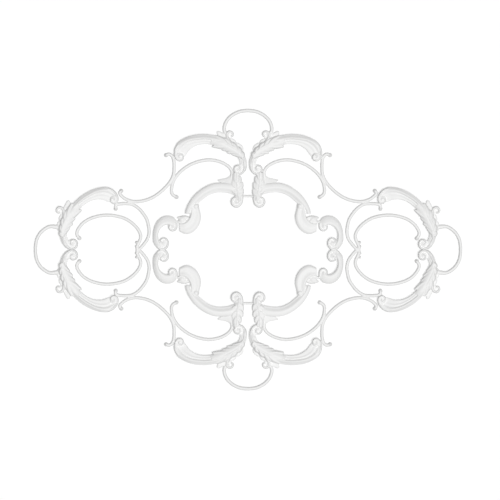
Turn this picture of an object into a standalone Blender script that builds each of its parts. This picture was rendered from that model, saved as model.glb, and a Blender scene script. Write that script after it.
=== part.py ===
"""Ceiling medallion: open rococo scrollwork, one casting with a flat back.

It lies face up: X along its length, +Z out of the carved face, and the back, which goes on
the ceiling, at z = 0. A quarter is modelled, fused into one solid and mirrored twice.
The ornament is drawn on a square grid whose origin is the medallion's centre.
"""

import math

import bmesh
import bpy
import numpy as np

# Sizes in metres
LENGTH = 1.5  # over the crowns of the two end rings
STRAP_RELIEF = 0.010  # height above the back
RING_RELIEF = 0.011
SCROLL_RELIEF = 0.024
LEAF_RELIEF = 0.029
FRAME_RELIEF = 0.021
HUSK_RELIEF = 0.024
TIP_RELIEF = 0.013  # the low leaf tips beside the bands
MERGE = 0.0001
FLAT = math.radians(2)  # faces this close to one plane become one face

# The drawing, in grid steps of 3.5 mm
GRID_LENGTH = 428.6
STEP = LENGTH / GRID_LENGTH
STRAP_WIDTH = 3
RING_WIDTH = 3.3
STRAP_SPACING = 16  # between the rings of vertices along a straight strap
BAND_SPACING = 14
TURN = math.radians(50)  # the bend between two rings where a line curves
CURVE_SAMPLES = 12  # between two drawn points

# Sections across a band, as (share of its width, share of its relief), and profiles of a turned
# button, as (share of its radius, share of its relief)
BEAD_SHARES = ((0, 0), (0.2, 0.85), (0.8, 0.85), (1, 0))
MOULDED_SHARES = ((0, 0), (0.12, 0.82), (0.34, 0.6), (0.68, 1), (0.94, 0.68), (1, 0))
SCOOPED_SHARES = ((0, 0), (0.14, 0.95), (0.42, 0.62), (0.8, 1), (1, 0))
LEAFY_SHARES = ((0, 0), (0.08, 0.7), (0.45, 1), (0.92, 0.7), (1, 0))
VOLUTE_SHARES = ((1, 0), (0.88, 0.82), (0.6, 0.56), (0.34, 1))
BLOB_SHARES = ((1, 0), (0.7, 1.15))

# The acanthus scroll and the slender scroll in frames of their own: from their start, where a
# volute or a blob sits, along the chord to their stop, then outwards
CHORD = 59.6
SCROLL_OUTSIDE = (
    (-5.6, -1.5), (-6.6, 5), (-4.8, 12.8), (1, 18.6), (9, 23.3), (19, 26.4), (29, 27.4), (38, 27.2),
    (46, 25.4), (53, 22.4), (60, 18), (65.4, 11), (67.5, 3), (66.5, -2.9), (62.2, -5.2),
)
SCROLL_INSIDE = (
    (3.2, -1.5), (5.6, 3.2), (8.6, 9.6), (14, 14.8), (21, 17.8), (29, 18.8), (38, 18.2), (46, 16.2),
    (52, 13.6), (57.6, 10.8), (60.2, 6.2), (61.2, 2.5), (61.6, 0),
)
LEAF_OUTSIDE = (
    (64.6, 12.5), (62.2, 17), (58, 22), (52.6, 26.6), (48, 27.6), (43, 29.4), (38.6, 32), (34, 33), (30.2, 32.8),
)
LEAF_INSIDE = (
    (60.8, 12.4), (57.6, 12.6), (53.6, 12.4), (49, 12.4), (46.2, 15), (41, 14.4), (38.2, 17), (31.6, 15.4), (28, 17.4),
)
BUD = (44.6, 32)
BUD_STEM = (43.4, 25)
SLENDER = (
    (0, 0), (-2.3, 2.8), (-2.8, 6), (-1, 10.5), (2.7, 15.5), (8.7, 20), (16.5, 23.2), (25, 24.9),
    (34, 24.8), (43, 23), (50.2, 19.4), (56.2, 14.4), (60, 8.9), (60.9, 3.6),
)

# The two places of each, as the grid points of its start and stop
TOP_SCROLL = ((68.6, 92.5), (9.8, 80.3))
TOP_FULLNESS = 1.04  # how much further out the band's back lies than drawn
END_SCROLL = ((133.6, 50), (174.9, 6))
END_FULLNESS = 1
TOP_SLENDER = ((71.6, 52.7), (16, 74))
END_SLENDER = ((168.7, 11.4), (109, 8))

# The other lines of the quarter, as grid points
RING_CROWN = GRID_LENGTH / 2 - RING_WIDTH / 2
TOP_RING = (
    (-4, 139.4), (0, 139.5), (8, 138.4), (15.2, 135), (20.5, 130), (23.3, 124.7), (23.8, 120), (22.4, 116.8),
    (19, 115.2),
)
END_RING = (
    (186, 21.4), (192, 22.8), (198, 23.2), (203, 20.9), (208, 16.4), (211.4, 10), (RING_CROWN, 3),
    (RING_CROWN, 0), (RING_CROWN, -3),
)
S_STRAP = (
    (82, 94.6), (79, 95.6), (76.1, 93.8), (74.3, 89.4), (73.9, 82), (74.7, 74.6), (78.2, 67.4), (84.6, 60.3),
    (91.9, 54.4), (99.9, 50.3), (109, 48.2), (116, 48.4), (122.6, 50.8), (127.3, 54.6), (128.3, 57.2), (126.8, 58.9),
)
C_STRAP = (
    (132.4, 41), (132.3, 44), (129.3, 45.6), (123, 46.1), (115.8, 45.3), (109.4, 41.3), (105, 36.3), (101.3, 30.4),
    (99.6, 24), (98.9, 17.4), (100.5, 10.8), (104, 5.7), (107.3, 1.9), (111, -1),
)
TIE = ((119.8, 49.8), (119.8, 45))  # the short tab between the S and the C strap
END_TAIL = ((110.2, 5.2), (111, 2.4), (110.6, -1.6))
TOP_TAIL = ((16.4, 74), (17, 70))
ARCH_OUTSIDE = ((14, 65), (21, 66.3), (30, 66.7), (38, 65), (46.3, 60.6), (54, 53.9), (59.2, 46.5), (62, 40.2), (62.8, 36))
ARCH_INSIDE = ((14.4, 55), (20.4, 56.8), (28, 57.5), (34.6, 56.5), (41.1, 53.5), (46.7, 49), (52, 44.4), (56, 40), (57.8, 36))
SCOOP_OUTSIDE = ((50.4, 49), (48.8, 41), (47.2, 33.4), (48.5, 26.3), (52, 20.6), (57, 16.8), (62.6, 15.8), (68.3, 18.2))
SCOOP_INSIDE = ((56.8, 46.4), (57, 39), (57.6, 34.2), (58.9, 31.2), (61, 28.6), (63.4, 26.9), (66, 26.2), (68.6, 26.2))
FLARE_UPPER = ((56.4, 31.6), (61, 33.4), (65.6, 34), (71.6, 33))
FLARE_LOWER = ((58.4, 28.4), (61.4, 26.4), (65.4, 25), (71.6, 26))
HUSK_OUTSIDE = ((8.8, 77), (8.6, 72), (6.4, 68), (4.4, 63.4), (4, 58.6), (5, 53.4), (6, 49))
HUSK_INSIDE = ((15.6, 77), (16.4, 71), (16.2, 66), (16, 61), (15.6, 56.6), (13.6, 53.6), (13.6, 49))
FRAME_TIP_UPPER = ((13, 74.6), (18, 73.6), (21.6, 71.6), (26, 70.8), (31.4, 69.8))
FRAME_TIP_LOWER = ((13, 64), (19, 64.6), (22.4, 65.2), (26.4, 66.4), (31, 69.2))
SMALL_OUTSIDE = (
    (70.8, 22.4), (71.4, 28.2), (74.8, 32.5), (80.4, 34), (86.3, 32.6), (91.5, 27.8), (94.5, 20.4), (95.3, 13),
    (94.4, 6.3), (90.4, 1.4), (85.6, -0.9),
)
SMALL_INSIDE = (
    (76, 22.2), (77.8, 24.4), (80.4, 25), (83.6, 24.4), (87.3, 21.6), (89.6, 17.4), (90, 12.6), (89, 8.4),
    (87.2, 5.6), (85.2, 4.4),
)
BRIDGE = ((7, 53.6), (-3, 53.6))  # the tab that joins the two husks

# Volutes and blobs
SCROLL_START_RADIUS = 4.8
SCROLL_STOP_RADIUS = 5
BUD_RADIUS = 3.7
HUSK_VOLUTE = (11.5, 47.8)
HUSK_VOLUTE_RADIUS = 6.1
SMALL_START = (75.4, 23.2)
SMALL_START_RADIUS = 4.7
SMALL_STOP = (84.6, 6.8)
SMALL_STOP_RADIUS = 5.2
BLOB_RADIUS = 2.1
VOLUTE_SIDES = 7
BLOB_SIDES = 6


def placed(points, place, turned_left=False):
    """Points of an ornament's own frame, as grid points in its place on the drawing."""
    start, stop = place
    chord = np.subtract(stop, start)
    along = chord / np.linalg.norm(chord)
    outwards = np.array((-along[1], along[0])) if turned_left else np.array((along[1], -along[0]))
    scale = np.linalg.norm(chord) / CHORD
    return [start + scale * (a * along + b * outwards) for a, b in points]


def curve(points, spacing, count=None):
    """Points on a smooth curve through the drawn ones, closer together where it bends."""
    drawn = [np.array(point, float) for point in points]
    ends = [2 * drawn[0] - drawn[1], *drawn, 2 * drawn[-1] - drawn[-2]]
    dense = []
    for before, start, stop, after in zip(ends, ends[1:], ends[2:], ends[3:]):
        for t in np.linspace(0, 1, CURVE_SAMPLES, endpoint=False):
            bend = (2 * before - 5 * start + 4 * stop - after) * t**2
            twist = (3 * start - before - 3 * stop + after) * t**3
            dense.append(start + 0.5 * ((stop - before) * t + bend + twist))
    dense.append(drawn[-1])
    steps = np.diff(dense, axis=0)
    headings = np.unwrap(np.arctan2(steps[:, 1], steps[:, 0]))
    effort = np.linalg.norm(steps, axis=1) / spacing + np.abs(np.gradient(headings)) / TURN
    reach = np.concatenate([[0], np.cumsum(effort)])
    marks = np.linspace(0, reach[-1], count or max(2, math.ceil(reach[-1]) + 1))
    return np.column_stack([np.interp(marks, reach, np.array(dense)[:, k]) for k in (0, 1)])


def finished(name, mesh):
    """The bmesh as a scene object among the pieces that the medallion fuses."""
    bmesh.ops.recalc_face_normals(mesh, faces=mesh.faces)
    data = bpy.data.meshes.new(name)
    mesh.to_mesh(data)
    mesh.free()
    piece = bpy.data.objects.new(name, data)
    pieces.objects.link(piece)
    piece.hide_render = True
    piece.display_type = "WIRE"
    return piece


def ribbon(name, outside, inside, section, relief):
    """A closed band between two edges with the same number of grid points."""
    mesh = bmesh.new()
    rows = []
    for start, stop in zip(outside, inside):
        spots = [(*(STEP * (start + (stop - start) * share)), relief * up) for share, up in section]
        rows.append([mesh.verts.new(spot) for spot in spots])
    for here, ahead in zip(rows, rows[1:]):
        for k in range(len(section)):
            mesh.faces.new((here[k - 1], here[k], ahead[k], ahead[k - 1]))
    mesh.faces.new(rows[0])
    mesh.faces.new(rows[-1])
    return finished(name, mesh)


def band(name, outside, inside, section, relief, spacing=BAND_SPACING):
    """A ribbon between two smooth edges."""
    edge = curve(outside, spacing)
    return ribbon(name, edge, curve(inside, spacing, len(edge)), section, relief)


def strap(name, points, width=STRAP_WIDTH, relief=STRAP_RELIEF):
    """A half-round strap along a smooth line."""
    line = curve(points, STRAP_SPACING)
    ahead = np.gradient(line, axis=0)
    ahead /= np.linalg.norm(ahead, axis=1)[:, None]
    sideways = np.column_stack([-ahead[:, 1], ahead[:, 0]]) * width / 2
    return ribbon(name, line + sideways, line - sideways, BEAD_SHARES, relief)


def turned(name, centre, radius, profile, relief, sides):
    """A button turned about the vertical, with its profile as (share of radius, share of relief)."""
    mesh = bmesh.new()
    rings = []
    for share, up in profile:
        ring = []
        for k in range(sides):
            angle = math.tau * (k + 0.3) / sides
            spot = np.array(centre) + radius * share * np.array((math.cos(angle), math.sin(angle)))
            ring.append(mesh.verts.new((*(STEP * spot), relief * up)))
        rings.append(ring)
    for low, high in zip(rings, rings[1:]):
        for k in range(sides):
            mesh.faces.new((low[k - 1], low[k], high[k], high[k - 1]))
    mesh.faces.new(rings[0])
    mesh.faces.new(rings[-1])
    return finished(name, mesh)


def volute(name, centre, radius, relief):
    """The rolled end of a scroll: a raised rim, a groove and an eye."""
    return turned(name, centre, radius, VOLUTE_SHARES, relief, VOLUTE_SIDES)


def blob(name, centre, radius=BLOB_RADIUS, relief=STRAP_RELIEF):
    """The small round end of a strap, a little higher than the strap."""
    return turned(name, centre, radius, BLOB_SHARES, relief, BLOB_SIDES)


def acanthus_scroll(name, place, fullness, turned_left=False):
    """A moulded scroll with a volute at each end and a lobed leaf wrapped around it."""
    back = [(along, fullness * out) for along, out in SCROLL_OUTSIDE]
    outside, inside, leaf_outside, leaf_inside, (bud, stem) = (
        placed(points, place, turned_left)
        for points in (back, SCROLL_INSIDE, LEAF_OUTSIDE, LEAF_INSIDE, (BUD, BUD_STEM))
    )
    band(name + "_band", outside, inside, MOULDED_SHARES, SCROLL_RELIEF)
    ribbon(name + "_leaf", leaf_outside, leaf_inside, LEAFY_SHARES, LEAF_RELIEF)
    volute(name + "_start", place[0], SCROLL_START_RADIUS, SCROLL_RELIEF)
    volute(name + "_stop", place[1], SCROLL_STOP_RADIUS, SCROLL_RELIEF)
    blob(name + "_bud", bud, BUD_RADIUS, TIP_RELIEF)
    strap(name + "_stem", (bud, stem), relief=TIP_RELIEF)


def slender_scroll(name, place, tail):
    """A thin strap in a C, from its blob to the tail that joins it to its neighbour."""
    strap(name, [*placed(SLENDER, place), *tail])
    blob(name + "_blob", place[0])


def rings():
    """The crowning half rings; their other halves are mirrored."""
    strap("top_ring", TOP_RING, RING_WIDTH, RING_RELIEF)
    strap("end_ring", END_RING, RING_WIDTH, RING_RELIEF)


def straps():
    """The long straps that tie the top and end ornaments together."""
    strap("s_strap", S_STRAP)
    blob("s_strap_start", S_STRAP[0])
    blob("s_strap_stop", S_STRAP[-1])
    strap("c_strap", C_STRAP)
    blob("c_strap_start", C_STRAP[0])
    strap("tie", TIE)


def frame():
    """The moulded frame around the open middle: husk, arch, scoop and small scroll."""
    band("husk", HUSK_OUTSIDE, HUSK_INSIDE, LEAFY_SHARES, HUSK_RELIEF)
    volute("husk_volute", HUSK_VOLUTE, HUSK_VOLUTE_RADIUS, HUSK_RELIEF)
    strap("bridge", BRIDGE)
    band("frame_tip", FRAME_TIP_UPPER, FRAME_TIP_LOWER, BEAD_SHARES, TIP_RELIEF)
    band("arch", ARCH_OUTSIDE, ARCH_INSIDE, SCOOPED_SHARES, FRAME_RELIEF)
    band("scoop", SCOOP_OUTSIDE, SCOOP_INSIDE, SCOOPED_SHARES, FRAME_RELIEF)
    band("flare", FLARE_UPPER, FLARE_LOWER, BEAD_SHARES, TIP_RELIEF)
    band("small_scroll", SMALL_OUTSIDE, SMALL_INSIDE, SCOOPED_SHARES, FRAME_RELIEF)
    volute("small_start", SMALL_START, SMALL_START_RADIUS, FRAME_RELIEF)
    volute("small_stop", SMALL_STOP, SMALL_STOP_RADIUS, FRAME_RELIEF)


def plaster_white():
    """Matt white primer on cast polyurethane."""
    material = bpy.data.materials.new("primed_white")
    material.use_nodes = True
    shader = material.node_tree.nodes["Principled BSDF"]
    shader.inputs["Base Color"].default_value = (0.82, 0.82, 0.81, 1)
    shader.inputs["Roughness"].default_value = 0.6
    return material


def medallion():
    """The quarter's pieces as one solid, mirrored about both axes."""
    body = pieces.objects[0]
    body.name = "medallion"
    bpy.context.scene.collection.objects.link(body)
    pieces.objects.unlink(body)
    body.hide_render = False
    body.display_type = "TEXTURED"
    body.data.materials.append(plaster_white())
    fuse = body.modifiers.new("fuse", "BOOLEAN")
    fuse.operation = "UNION"
    fuse.solver = "EXACT"
    fuse.operand_type = "COLLECTION"
    fuse.collection = pieces
    tidy = body.modifiers.new("tidy", "DECIMATE")
    tidy.decimate_type = "DISSOLVE"
    tidy.angle_limit = FLAT
    mirror = body.modifiers.new("mirror", "MIRROR")
    mirror.use_axis = (True, True, False)
    mirror.use_bisect_axis = (True, True, False)
    mirror.bisect_threshold = MERGE
    mirror.merge_threshold = MERGE


for thing in list(bpy.data.objects):
    bpy.data.objects.remove(thing)
pieces = bpy.data.collections.new("pieces")
bpy.context.scene.collection.children.link(pieces)
acanthus_scroll("top_scroll", TOP_SCROLL, TOP_FULLNESS)
acanthus_scroll("end_scroll", END_SCROLL, END_FULLNESS, turned_left=True)
slender_scroll("top_slender", TOP_SLENDER, TOP_TAIL)
slender_scroll("end_slender", END_SLENDER, END_TAIL)
rings()
straps()
frame()
medallion()
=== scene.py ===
"""Ceiling medallion of open rococo scrollwork: the fine relief, its finish and a plain studio.

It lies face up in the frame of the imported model: X along its length, Z out of the carved face.
A quarter is drawn on a square grid from the middle of the medallion, and mirrored twice.
"""

import math

import bmesh
import bpy
import numpy as np
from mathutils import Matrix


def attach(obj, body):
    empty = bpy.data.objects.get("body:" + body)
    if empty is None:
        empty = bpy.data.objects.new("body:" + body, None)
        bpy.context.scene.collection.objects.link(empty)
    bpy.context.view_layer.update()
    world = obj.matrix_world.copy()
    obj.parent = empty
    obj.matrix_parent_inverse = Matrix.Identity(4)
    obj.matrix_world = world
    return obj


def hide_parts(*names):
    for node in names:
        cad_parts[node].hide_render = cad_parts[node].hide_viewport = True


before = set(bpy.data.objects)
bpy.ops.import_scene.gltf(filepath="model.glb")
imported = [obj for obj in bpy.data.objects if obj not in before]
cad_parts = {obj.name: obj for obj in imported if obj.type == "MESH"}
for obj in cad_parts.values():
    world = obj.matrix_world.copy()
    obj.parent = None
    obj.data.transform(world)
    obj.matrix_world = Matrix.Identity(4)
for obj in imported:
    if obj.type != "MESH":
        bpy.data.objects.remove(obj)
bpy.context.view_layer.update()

# Straps and rings
# The thin half-round straps that tie the ornaments together, with a small ball at each free end,
# and the larger rings that crown the top, the bottom and the ends. All are cast in one with the
# rest in rigid polyurethane foam, in an open mould, so their sides run straight down to the back.

STEP = 1.5 / 428.6  # metres in one step of the drawing
FOOT = 0.003  # how far the forms go on below the back before they are cut off flat
STRAP_WIDTH = 3.0
STRAP_RELIEF = 0.0098
RING_WIDTH = 3.25
RING_RELIEF = 0.0108
BALL_RADIUS = 2.1
BALL_RELIEF = 0.0128
STRAP_WALL = 0.34  # share of a strap's relief that its straight sides take, under the rounding

quarter = bmesh.new()


def smooth_line(points, count=None):
    """Evenly spaced points, a third of a step apart, on a smooth curve through the drawn ones."""
    drawn = np.array(points, float)
    drawn = np.vstack([2 * drawn[0] - drawn[1], drawn, 2 * drawn[-1] - drawn[-2]])
    t = np.linspace(0, 1, 16, endpoint=False)[:, None]
    runs = [
        b + 0.5 * ((c - a) * t + (2 * a - 5 * b + 4 * c - d) * t**2 + (3 * b - a - 3 * c + d) * t**3)
        for a, b, c, d in zip(drawn, drawn[1:], drawn[2:], drawn[3:])
    ]
    dense = np.vstack([*runs, drawn[-2]])
    reach = np.concatenate([[0], np.cumsum(np.linalg.norm(np.diff(dense, axis=0), axis=1))])
    marks = np.linspace(0, reach[-1], count or math.ceil(3 * reach[-1]) + 1)
    return np.column_stack([np.interp(marks, reach, dense[:, k]) for k in (0, 1)])


def eased(marks, at):
    """Heights between the (place, height) marks, level at each mark like crests and hollows."""
    places, heights = np.array(marks, float).T
    k = np.clip(np.searchsorted(places, at, side="right") - 1, 0, len(places) - 2)
    t = np.clip((at - places[k]) / (places[k + 1] - places[k]), 0, 1)
    return heights[k] + (heights[k + 1] - heights[k]) * (1 - np.cos(math.pi * t)) / 2


def add_form(spots, heights):
    """A closed form whose top runs through rows of grid points at those heights."""
    loops = []
    for row, ups in zip(spots, heights):
        row = np.column_stack([STEP * np.asarray(row), ups])
        row = np.vstack([row[0], row, row[-1]])
        row[[0, -1], 2] = -FOOT
        loops.append([quarter.verts.new(spot) for spot in row])
    for here, ahead in zip(loops, loops[1:]):
        for k in range(len(here)):
            quarter.faces.new((here[k - 1], here[k], ahead[k], ahead[k - 1]))
    quarter.faces.new(loops[0])
    quarter.faces.new(loops[-1])


def sideways(line):
    """The direction to the left of a line at each of its points."""
    ahead = np.gradient(line, axis=0)
    ahead /= np.linalg.norm(ahead, axis=1)[:, None]
    return np.column_stack([-ahead[:, 1], ahead[:, 0]])


def strap(points, width=STRAP_WIDTH, relief=STRAP_RELIEF, taper=((0, 1), (1, 1)), rise=((0, 1), (1, 1))):
    """A half-round strap along a smooth line, thinned and lowered along it as taper and rise say."""
    line = smooth_line(points)
    along = np.linspace(0, 1, len(line))
    across = np.sin(np.linspace(-math.pi / 2, math.pi / 2, 15))
    half = eased(taper, along) * width / 2
    spots = line[:, None] + sideways(line)[:, None] * half[:, None, None] * across[:, None]
    rounding = STRAP_WALL + (1 - STRAP_WALL) * np.sqrt(1 - across**2)
    add_form(spots, relief * eased(rise, along)[:, None] * rounding)


def button(centre, radius, relief, section=((0, 1), (1, 0.2))):
    """A round form with that section from its middle to its rim."""
    blunt = 0.04  # radians short of a pole, where the rows would shrink to a point
    turns = np.linspace(blunt, math.pi - blunt, 22)
    across = np.linspace(-1, 1, 21)
    sweep = np.repeat(np.cos(turns)[:, None], len(across), 1)
    offsets = np.stack([sweep, np.sin(turns)[:, None] * across], axis=2)
    add_form(np.array(centre) + radius * offsets, relief * eased(section, np.linalg.norm(offsets, axis=2)))


strap(
    ((-4, 139.2), (0, 139.2), (8, 138.2), (15.2, 134.9), (20.5, 130), (23.2, 124.7), (23.8, 120),
     (22.4, 116.8), (19, 115.2)),
    RING_WIDTH, RING_RELIEF,
)
strap(
    ((186, 21.4), (192, 22.8), (198, 23.2), (203, 20.9), (208, 16.4), (211.4, 10), (212.6, 3),
     (212.6, 0), (212.6, -3)),
    RING_WIDTH, RING_RELIEF, taper=((0, 1.4), (0.14, 1.25), (0.3, 1), (1, 0.9)),
    rise=((0, 1), (0.3, 1), (1, 1.12)),
)
S_STRAP = (
    (82, 94.6), (79, 95.6), (76.1, 93.8), (74.3, 89.4), (73.9, 82), (74.7, 74.6), (78.2, 67.4),
    (84.6, 60.3), (91.9, 54.4), (99.9, 50.3), (109, 48.2), (116, 48.4), (122.6, 50.8), (127.3, 54.6),
    (128.3, 57.2), (126.8, 58.9),
)
C_STRAP = (
    (132.4, 41), (132.3, 44), (129.3, 45.6), (123, 46.1), (115.8, 45.3), (109.4, 41.3), (105, 36.3),
    (101.3, 30.4), (99.6, 24), (98.9, 17.4), (100.5, 10.8), (104, 5.7), (107.3, 1.9), (111, -1),
)
for points in (S_STRAP, C_STRAP):
    strap(points)
for ball in (S_STRAP[0], S_STRAP[-1], C_STRAP[0]):
    button(ball, BALL_RADIUS, BALL_RELIEF)
for points in (((119.8, 49.4), (119.8, 44.8)), ((7, 53.6), (-3, 53.6))):
    strap(points, 2.2, 0.85 * STRAP_RELIEF)

# Slender scrolls
# Eight thin C-scrolls, cast in the same foam, one inside each acanthus scroll. They are drawn once,
# in a frame of their own: from the ball along the chord to the other end, then outwards. Small
# knobs sit at the waist of the oval that they form at each end.

CHORD = 59.6
SLENDER = (
    (0, 0), (-2.3, 2.8), (-2.8, 6), (-1, 10.5), (2.7, 15.5), (8.7, 20), (16.5, 23.2), (25, 24.9),
    (34, 24.8), (43, 23), (50.2, 19.4), (56.2, 14.4), (60, 8.9), (60.9, 3.6),
)


def placed(points, place, turned_left=False):
    """Points of an ornament's own frame, at its place on the drawing."""
    start, stop = np.array(place, float)
    chord = stop - start
    outwards = np.array((-chord[1], chord[0])) if turned_left else np.array((chord[1], -chord[0]))
    return [start + (a * chord + b * outwards) / CHORD for a, b in points]


for place, fullness, tail in (
    (((71.6, 52.7), (16, 74)), 1.015, ((16.4, 74), (17, 70))),
    (((168.7, 11.4), (109, 8)), 0.984, ((110.2, 5.2), (111, 2.4), (110.6, -1.6))),
):
    strap([*placed([(a, fullness * b) for a, b in SLENDER], place), *tail])
    button(place[0], BALL_RADIUS, BALL_RELIEF)
KNOB_RADIUS = 1.5
for knob in ((111.6, 7.4), (111.8, 3.5)):
    button(knob, KNOB_RADIUS, 0.9 * BALL_RELIEF)

# Acanthus scrolls
# The eight large moulded scrolls, with a volute rolled up at each end, an acanthus leaf wrapped
# around the outer half and a small curled bud on its back. Modelled by hand in the master, which
# shows in the soft, slightly uneven lobes.

SCROLL_RELIEF = 0.0235
LEAF_RELIEF = 0.0284
LOW_ROOT = 0.0082  # the flat leaf tips that lie beside the band, at root and tip
LOW_TIP = 0.0064
OUTER_TIP = 0.015
INNER_TIP = 0.0145
BUD_RELIEF = 0.017
BUD_FLOOR = 0.008
RIB_DEPTH = 0.0011
LEAST_RELIEF = 0.003
BAND_SECTION = (
    (0, 0.6), (0.06, 0.64), (0.12, 0.69), (0.24, 0.86), (0.33, 0.97), (0.4, 1), (0.45, 0.93),
    (0.53, 0.75), (0.57, 0.7), (0.61, 0.715), (0.66, 0.755), (0.7, 0.73), (0.76, 0.65), (0.81, 0.615),
    (0.9, 0.62), (1, 0.58),
)
SCROLL_OUTSIDE = (
    (-5.8, 1.2), (-6.4, 6), (-4.8, 12.8), (1, 18.6), (9, 23.3), (19, 26.4), (29, 27.4), (38, 27.2),
    (46, 25.4), (53, 22.4), (60, 18), (65.4, 11), (67.5, 4), (67.2, 0),
)
SCROLL_INSIDE = (
    (3.6, 0.5), (5.6, 3.2), (8.6, 9.6), (14, 14.8), (21, 17.8), (29, 18.8), (38, 18.2), (46, 16.2),
    (52, 13.6), (57.6, 10.8), (60.2, 6.2), (61.2, 2.5),
)
START_COIL = (
    (-3.2, 12.2), (-5, 8.4), (-5.3, 5), (-4.7, 1.4), (-3.1, -1.3), (-0.6, -2.9), (1.9, -2.8),
    (3.4, -1.1), (3.4, 1.1), (1.9, 2.4), (0, 2), (-0.8, 0.6), (0.2, -0.2),
)
STOP_COIL = (
    (62.6, 13), (64.9, 8.4), (65.8, 3.6), (65, -1.2), (62.2, -4), (58.6, -3.9), (56, -1), (56.4, 2),
    (59, 3.2), (61, 1.9), (60.5, 0.1),
)
# Lobes of the leaf from root to tip, with their width
LOW_LOBES = (
    (((58, 17), (57, 21), (53, 25.4)), 6.4),
    (((51, 21), (49, 25.4), (44.6, 28)), 6.4),
    (((46, 24), (42, 28.6), (37.6, 31)), 6),
    (((42, 24), (36.4, 29.4), (31.4, 32.6)), 7.4),
)
SHEATH_OUTSIDE = ((62.8, 11), (61.6, 15), (57.6, 19.6), (51.4, 23), (44.4, 25.4), (37.4, 26.6), (30.4, 26.2))
SHEATH_INSIDE = ((60.4, 11), (58.4, 12.6), (52.4, 14), (45.4, 15.4), (38.4, 17.2), (31.4, 18.6), (26.4, 19.6))
OUTER_LOBES = (
    (((61.4, 13.2), (60.6, 15.6), (57, 18.2)), 4.8),
    (((58, 16.2), (56.4, 19.2), (52, 22)), 5.2),
    (((53.4, 19.4), (50.6, 22.6), (45.6, 25)), 5.2),
    (((48, 21.4), (44.2, 25), (38.4, 27.4)), 5.4),
    (((43.4, 22.6), (38, 25.6), (31, 28.2)), 5.2),
)
INNER_LOBES = (
    (((61.8, 12.6), (57.4, 13.8), (50, 13.4)), 4.4),
    (((57.6, 16.6), (52, 15.8), (45.2, 13.9)), 5),
    (((51.5, 19), (46.4, 17.4), (39.8, 15.8)), 5),
    (((45.6, 20.6), (38.4, 18.8), (29.4, 16.9)), 5.2),
)
LEAF_SPINE = ((60, 15.4), (55, 18.6), (48, 21.2), (41, 22.6), (34, 23.2), (27.5, 22.6))
BUD = (44.6, 31.8)
BUD_COIL = (
    (46.5, 24.5), (44, 27.2), (41.9, 30.2), (41.8, 33.2), (43.8, 35), (46.4, 34.5), (47.5, 32.5),
    (46.6, 30.8),
)


def band(outside, inside, section, relief, rise=((0, 1), (1, 1)), crowd=((0, 1), (1, 1))):
    """A moulded band between two smooth edges, with its mouldings crowded outwards as crowd says."""
    outside = smooth_line(outside)
    inside = smooth_line(inside, len(outside))
    along = np.linspace(0, 1, len(outside))[:, None]
    across = np.linspace(0, 1, 41)
    spots = outside[:, None] + (inside - outside)[:, None] * (across ** eased(crowd, along))[:, :, None]
    add_form(spots, relief * np.interp(across, *zip(*section)) * eased(rise, along))


def lobe(points, width, root, tip, ribs=3):
    """One lobe of a leaf, cupped and ribbed, lower towards its rounded tip."""
    line = smooth_line(points)
    along = np.linspace(0, 1, len(line))[:, None]
    across = np.linspace(-1, 1, 25)
    belly = 0.72 + 0.28 * np.sin(math.pi * np.minimum(1.35 * along, 1))
    half = width / 2 * belly * np.sqrt(1.001 - along**5)
    spots = line[:, None] + sideways(line)[:, None] * half[:, None] * across[:, None]
    crest = root + (tip - root) * along**1.6
    groove = (0.5 + 0.5 * np.cos(math.pi * ribs * across)) * (1 - along**4)
    heights = crest * (1 - 0.3 * across**4 - 0.12 * across**2) - RIB_DEPTH * groove
    add_form(spots, np.maximum(heights, LEAST_RELIEF))


def volute(centre, radius, coil, relief, width, rim=0.5):
    """A scroll's end rolled up: the floor, the strap coiled on it and the eye in the middle."""
    button(centre, 0.95 * radius, relief, ((0, 0.86), (1, rim)))
    strap(coil, width, relief, taper=((0, 1.3), (0.5, 0.95), (1, 0.6)), rise=((0, 0.8), (0.5, 0.9), (1, 1)))
    button(coil[-1], 0.3 * radius, 1.02 * relief)


def acanthus_scroll(place, fullness, turned_left=False):
    """The band with its volutes, then the leaf that lies over it in two layers."""

    def at(points):
        return placed(points, place, turned_left)

    outside = at([(a, fullness * b) for a, b in SCROLL_OUTSIDE])
    band(
        outside, at(SCROLL_INSIDE), BAND_SECTION, SCROLL_RELIEF, ((0, 0.6), (0.2, 1), (0.9, 1), (1, 0.6)),
        crowd=((0, 1.6), (0.16, 1.4), (0.34, 1), (1, 1)),
    )
    volute(at([(0.3, 0)])[0], 4.2, at(START_COIL), 0.98 * SCROLL_RELIEF, 2.1, 0.78)
    volute(place[1], 5, at(STOP_COIL), 0.94 * SCROLL_RELIEF, 2.2)
    for points, width in LOW_LOBES:
        lobe(at(points), width, LOW_ROOT, LOW_TIP, 1)
    band(
        at(SHEATH_OUTSIDE), at(SHEATH_INSIDE),
        ((0, 0.62), (0.1, 0.78), (0.24, 0.9), (0.42, 0.98), (0.58, 1), (0.74, 0.93), (0.88, 0.82),
         (1, 0.66)),
        0.92 * LEAF_RELIEF, ((0, 1), (0.72, 1), (1, 0.8)),
    )
    for points, width in OUTER_LOBES:
        lobe(at(points), width, 0.98 * LEAF_RELIEF, OUTER_TIP)
    for points, width in INNER_LOBES:
        lobe(at(points), width, 0.95 * LEAF_RELIEF, INNER_TIP)
    strap(
        at(LEAF_SPINE), 4.6, LEAF_RELIEF,
        taper=((0, 0.5), (0.3, 1), (1, 0.35)), rise=((0, 0.94), (0.4, 1), (1, 0.78)),
    )
    strap(
        at(BUD_COIL), 2.4, BUD_RELIEF,
        taper=((0, 1.3), (0.5, 1), (1, 0.8)), rise=((0, 1.3), (0.4, 0.9), (1, 0.9)),
    )
    button(at([BUD])[0], 3, BUD_FLOOR, ((0, 1), (1, 0.7)))


acanthus_scroll(((68.6, 92.5), (9.8, 80.3)), 1.027)
acanthus_scroll(((133.6, 50), (174.9, 6)), 0.985, turned_left=True)

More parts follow.
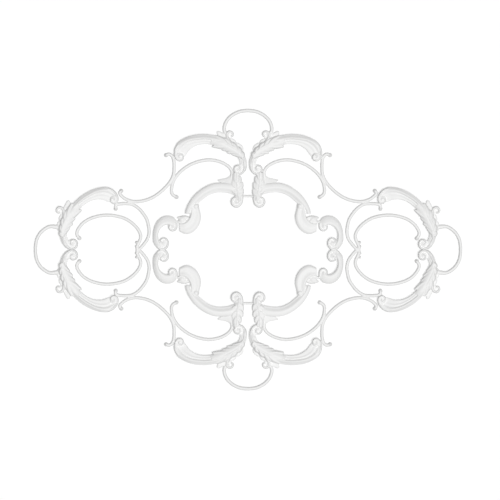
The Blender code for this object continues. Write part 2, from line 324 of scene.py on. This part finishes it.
# Frame around the open middle
# An upright husk, an arch, a deep scoop with a shell flare and a small C-scroll in each quarter.
# They meet end to end around the place where the lamp's rose hangs through.

FRAME_RELIEF = 0.0206
HUSK_RELIEF = 0.0236
TIP_RELIEF = 0.0142
band(
    ((14, 65), (21, 66.3), (30, 66.7), (38, 65), (46.3, 60.6), (54, 53.9), (59.2, 46.5), (62, 40.2),
     (62.8, 36)),
    ((14.4, 55), (20.4, 56.8), (28, 57.5), (34.6, 56.5), (41.1, 53.5), (46.7, 49), (52, 44.4), (56, 40),
     (57.8, 36)),
    ((0, 0.68), (0.06, 0.76), (0.14, 0.85), (0.24, 0.92), (0.34, 0.96), (0.42, 1), (0.5, 1),
     (0.58, 0.95), (0.67, 0.86), (0.76, 0.75), (0.84, 0.67), (0.9, 0.64), (1, 0.6)), FRAME_RELIEF,
)
band(
    ((50.4, 49), (48.8, 41), (47.2, 33.4), (48.5, 26.3), (52, 20.6), (57, 16.8), (62.6, 15.8),
     (68.3, 18.2)),
    ((56.8, 46.4), (57, 39), (57.6, 34.2), (58.9, 31.2), (61, 28.6), (63.4, 26.9), (66, 26.2),
     (68.6, 26.2)),
    ((0, 0.6), (0.06, 0.69), (0.14, 0.79), (0.22, 0.85), (0.28, 0.85), (0.36, 0.82), (0.46, 0.78),
     (0.6, 0.78), (0.74, 0.85), (0.84, 0.94), (0.91, 0.95), (1, 0.72)), FRAME_RELIEF,
    rise=((0, 0.8), (0.2, 1), (0.8, 1), (1, 0.85)),
)
button((52.1, 43.4), 3.2, 1.04 * FRAME_RELIEF, ((0, 1), (0.5, 0.95), (1, 0.55)))
# The flare is a leaf curled over into a small cup.
lobe(((57.4, 30), (61, 31.8), (65.4, 32.4), (71, 31.8)), 3.6, 0.66 * FRAME_RELIEF, 0.62 * FRAME_RELIEF)
lobe(((59, 28.6), (62.6, 27.6), (67, 27.2), (71.8, 28.4)), 3.8, 0.7 * FRAME_RELIEF, 0.55 * FRAME_RELIEF)
button((65.4, 30), 4, 0.8 * FRAME_RELIEF, ((0, 0.9), (0.3, 1), (0.7, 0.84), (1, 0.5)))

band(
    ((70.8, 22.4), (71.4, 28.2), (74.8, 32.5), (80.4, 34), (86.3, 32.6), (91.5, 27.8), (94.5, 20.4),
     (95.3, 13), (94.4, 6.3), (90.4, 1.4), (85.6, -0.9)),
    ((76, 22.2), (77.8, 24.4), (80.4, 25), (83.6, 24.4), (87.3, 21.6), (89.6, 17.4), (90, 12.6),
     (89, 8.4), (87.2, 5.6), (85.2, 4.4)),
    ((0, 0.4), (0.1, 0.54), (0.2, 0.66), (0.34, 0.79), (0.5, 0.89), (0.64, 0.97), (0.74, 1),
     (0.84, 0.97), (0.93, 0.9), (1, 0.82)), FRAME_RELIEF,
    rise=((0, 0.8), (0.12, 1), (0.86, 1), (1, 0.66)),
)
volute(
    (75.4, 23.2), 4.7,
    ((72, 27), (71.9, 22.6), (73.4, 19.9), (76.2, 19.4), (78.4, 21), (78.6, 23.4), (77, 24.8),
     (75.4, 24), (75.4, 22.8)),
    FRAME_RELIEF, 2,
)
volute(
    (84.6, 6.8), 5.2,
    ((90.6, 3), (86.4, 0.4), (82.4, 1.6), (80.4, 4.8), (80.5, 8.4), (82.8, 11), (85.8, 10.9),
     (87.4, 8.8), (86.4, 6.8), (84.8, 7.2)),
    FRAME_RELIEF, 2.1,
)
for points, width in (
    (((89.6, 27), (87.6, 26.2), (85, 24)), 3), (((86.4, 29.2), (83.4, 28), (80.6, 25.6)), 3.2),
):
    lobe(points, width, 0.9 * FRAME_RELIEF, 0.72 * FRAME_RELIEF, 1)

band(
    ((8.8, 77), (8.6, 72), (6.8, 68), (5.2, 63.4), (4.6, 58.6), (5.4, 53.4), (5.8, 49)),
    ((15.4, 77), (15.8, 71), (15.8, 66), (15.8, 61), (15.6, 56.6), (13, 53.6), (12, 49)),
    ((0, 0.5), (0.08, 0.66), (0.18, 0.8), (0.32, 0.92), (0.44, 0.97), (0.5, 0.9), (0.56, 0.97),
     (0.68, 0.92), (0.82, 0.8), (0.92, 0.66), (1, 0.5)), 0.92 * HUSK_RELIEF,
)
for points, width in (
    (((9.6, 54), (6.4, 56.4), (4.9, 61)), 4.2), (((12, 56.4), (15, 59.4), (15.8, 64)), 4.4),
    (((9.8, 60), (6.8, 63), (5.6, 67.6)), 4.4), (((12.2, 62), (14.8, 65.4), (15, 70.4)), 4),
    (((10, 66.4), (8.2, 69.2), (7.4, 73.4)), 3.8), (((12, 68), (13.4, 71.6), (14.2, 76)), 3.4),
    (((10.6, 71), (10, 74), (9.6, 78)), 2.8),
):
    lobe(points, width, HUSK_RELIEF, 0.54 * HUSK_RELIEF, 2)
strap(
    ((8.4, 49), (9.4, 54), (10.6, 60), (11.2, 66), (11.8, 76)), 2.2, HUSK_RELIEF,
    taper=((0, 1.3), (1, 0.5)),
)
# The husk's stem rolls up at its foot.
volute(
    (11.4, 47.8), 5.9,
    ((6.6, 55), (6.4, 50.5), (7.5, 46.2), (10.6, 43.4), (14, 44), (16, 46.8), (15.7, 50), (13.2, 51.9),
     (10.4, 51), (9.2, 48.6), (10.2, 46.8), (11.8, 47.2)),
    0.9 * HUSK_RELIEF, 2.5, 0.6,
)
band(
    ((13, 75), (17.6, 74), (21, 71.9), (25, 71), (30.4, 69.9)),
    ((13, 64), (19, 64.6), (22.4, 65.2), (26, 66.6), (30, 69)),
    ((0, 0.5), (0.3, 0.7), (0.7, 0.92), (1, 1)), TIP_RELIEF, rise=((0, 1), (1, 0.6)),
)

# The casting
# One casting of rigid polyurethane foam: all the forms above run into each other with the soft
# corners that a silicone mould and two coats of primer leave. Its back is flat, and goes on the
# ceiling with adhesive.

SKIN = 0.0011  # the finest corner that mould and primer leave
QUARTER_FACES = 46000
BUBBLE_POINTS = 200  # a closed shell with fewer points is a bubble, not a form
ON_PLANE = 1e-5  # how near a point counts as on a cutting plane
ON_MIRROR = 2e-5

mesh = bpy.data.meshes.new("medallion_casting")
quarter.to_mesh(mesh)
quarter.free()
casting = bpy.data.objects.new("medallion_casting", mesh)
bpy.context.scene.collection.objects.link(casting)
skin = casting.modifiers.new("skin", "REMESH")
skin.mode = "VOXEL"
skin.voxel_size = SKIN
soft = casting.modifiers.new("soft", "SMOOTH")
soft.factor = 0.5
soft.iterations = 1
trimmed = bpy.data.meshes.new_from_object(casting.evaluated_get(bpy.context.evaluated_depsgraph_get()))
casting.modifiers.clear()
casting.data = trimmed
lean = casting.modifiers.new("lean", "DECIMATE")
lean.ratio = QUARTER_FACES / (2 * len(trimmed.polygons))
trimmed = bpy.data.meshes.new_from_object(casting.evaluated_get(bpy.context.evaluated_depsgraph_get()))
casting.modifiers.clear()

whole = bmesh.new()
whole.from_mesh(trimmed)
# The voxels can seal a bubble between two forms, which a real casting wouldn't show either.
whole.verts.index_update()
unseen = set(whole.verts)
bubbles = []
while unseen:
    reach = {unseen.pop()}
    shell = set(reach)
    while reach:
        reach = {edge.other_vert(vert) for vert in reach for edge in vert.link_edges} - shell
        shell |= reach
    unseen -= shell
    if len(shell) < BUBBLE_POINTS:
        bubbles += shell
bmesh.ops.delete(whole, geom=sorted(bubbles, key=lambda vert: vert.index), context="VERTS")
for normal in ((1, 0, 0), (0, 1, 0), (0, 0, 1)):
    parts = whole.verts[:] + whole.edges[:] + whole.faces[:]
    cut = bmesh.ops.bisect_plane(
        whole, geom=parts, dist=ON_PLANE, plane_co=(0, 0, 0), plane_no=normal, clear_inner=True
    )["geom_cut"]
back_edges = [edge for edge in cut if isinstance(edge, bmesh.types.BMEdge)]
for edge in back_edges:
    edge.smooth = False
for axis in (0, 1):
    parts = whole.verts[:] + whole.edges[:] + whole.faces[:]
    bmesh.ops.mirror(whole, geom=parts, axis="XY"[axis], merge_dist=ON_MIRROR)
rim = [edge for edge in whole.edges if edge.is_boundary]
bmesh.ops.triangle_fill(whole, edges=rim, use_beauty=True, normal=(0, 0, -1))
bmesh.ops.recalc_face_normals(whole, faces=whole.faces)
for face in whole.faces:
    face.smooth = True
whole.to_mesh(trimmed)
print("casting", len(trimmed.polygons), "faces", sum(edge.is_boundary for edge in whole.edges), "open edges")
whole.free()
casting.data = trimmed


def linear(colour):
    """An sRGB hex colour as the linear values that Blender takes."""
    parts = [int(colour[k:k + 2], 16) / 255 for k in (1, 3, 5)]
    return [part / 12.92 if part <= 0.04045 else ((part + 0.055) / 1.055) ** 2.4 for part in parts] + [1]


def add_node(tree, kind, settings=None, links=None):
    """A node with its settings, its constant inputs and its links from other nodes' outputs."""
    node = tree.nodes.new(kind)
    for name, value in (settings or {}).items():
        if name in node.inputs:
            node.inputs[name].default_value = value
        else:
            setattr(node, name, value)
    for name, source in (links or {}).items():
        tree.links.new(source, node.inputs[name])
    return node


# White acrylic primer sprayed on polyurethane: matt, with a fine orange peel that softens the
# light, and a little warmer and thinner in broad patches.
PATCH_SIZE = 0.09
PEEL_SIZE = 0.0022  # too fine for the view from above, and shows only close up
PEEL_DEPTH = 0.00012
primer = bpy.data.materials.new("primed_polyurethane")
primer.use_nodes = True
tree = primer.node_tree
shader = tree.nodes["Principled BSDF"]
shader.inputs["IOR"].default_value = 1.5
place = add_node(tree, "ShaderNodeTexCoord").outputs["Object"]
patches = add_node(tree, "ShaderNodeTexNoise", {"Scale": 1 / PATCH_SIZE, "Detail": 3.0}, {"Vector": place})
tone = add_node(tree, "ShaderNodeMix", {"data_type": "RGBA"}, {"Factor": patches.outputs["Fac"]})
tone.inputs[6].default_value = linear("#EAEAE9")
tone.inputs[7].default_value = linear("#EFEFEF")
tree.links.new(tone.outputs[2], shader.inputs["Base Color"])
dull = add_node(
    tree, "ShaderNodeMapRange", {"From Min": 0.3, "From Max": 0.7, "To Min": 0.52, "To Max": 0.66},
    {"Value": patches.outputs["Fac"]},
)
tree.links.new(dull.outputs["Result"], shader.inputs["Roughness"])
peel = add_node(tree, "ShaderNodeTexNoise", {"Scale": 1 / PEEL_SIZE, "Detail": 2.0}, {"Vector": place})
bump = add_node(
    tree, "ShaderNodeBump", {"Strength": 0.35, "Distance": PEEL_DEPTH}, {"Height": peel.outputs["Fac"]}
)
tree.links.new(bump.outputs["Normal"], shader.inputs["Normal"])
casting.data.materials.clear()
casting.data.materials.append(primer)
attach(casting, "root")
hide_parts("medallion")

# Studio
# A plain floor just under the back, one wide light that leans in from the lower right, an even
# light all round, and the camera straight above, as in the photograph. The floor is matt white
# paper, which shows as plain white.

floor_mesh = bpy.data.meshes.new("floor")
FLOOR_REACH = 30
FLOOR_GAP = 0.0005
corners = [(x * FLOOR_REACH, y * FLOOR_REACH, 0) for x, y in ((-1, -1), (1, -1), (1, 1), (-1, 1))]
floor_mesh.from_pydata(corners, [], [(0, 1, 2, 3)])
floor = bpy.data.objects.new("floor", floor_mesh)
floor.location.z = -FLOOR_GAP
floor.visible_diffuse = False
bpy.context.scene.collection.objects.link(floor)
paper = bpy.data.materials.new("white_paper")
paper.use_nodes = True
sheet = paper.node_tree.nodes["Principled BSDF"]
sheet.inputs["Base Color"].default_value = linear("#F0F0F0")
sheet.inputs["Roughness"].default_value = 0.9
sheet.inputs["Emission Color"].default_value = (1, 1, 1, 1)
sheet.inputs["Emission Strength"].default_value = 0.13
floor_mesh.materials.append(paper)

LEAN_FROM_BELOW = 7
LEAN_FROM_RIGHT = 9.5
light = bpy.data.lights.new("overhead", "SUN")
light.energy = 2.1
light.angle = math.radians(30)
lamp = bpy.data.objects.new("overhead", light)
lamp.rotation_euler = (math.radians(LEAN_FROM_BELOW), math.radians(LEAN_FROM_RIGHT), 0)
bpy.context.scene.collection.objects.link(lamp)

world = bpy.data.worlds.new("studio")
bpy.context.scene.world = world
world.use_nodes = True
tree = world.node_tree
tree.nodes["Background"].inputs["Strength"].default_value = 1
seen = add_node(tree, "ShaderNodeLightPath").outputs["Is Camera Ray"]
shade = add_node(tree, "ShaderNodeMix", {"data_type": "RGBA"}, {"Factor": seen})
shade.inputs[6].default_value = (0.36, 0.36, 0.36, 1)
shade.inputs[7].default_value = (1, 1, 1, 1)
tree.links.new(shade.outputs[2], tree.nodes["Background"].inputs["Color"])

VIEW_WIDTH = 1.75  # metres across the photograph: 500 pixels of one step each
LENS = 400
SENSOR = 36
lens = bpy.data.cameras.new("camera")
lens.lens = LENS
lens.sensor_width = SENSOR
lens.clip_end = 100
camera = bpy.data.objects.new("camera", lens)
camera.location = (0.0067, -0.0009, VIEW_WIDTH * LENS / SENSOR + 0.008)
bpy.context.scene.collection.objects.link(camera)
bpy.context.scene.camera = camera
bpy.context.scene.view_settings.view_transform = "Standard"
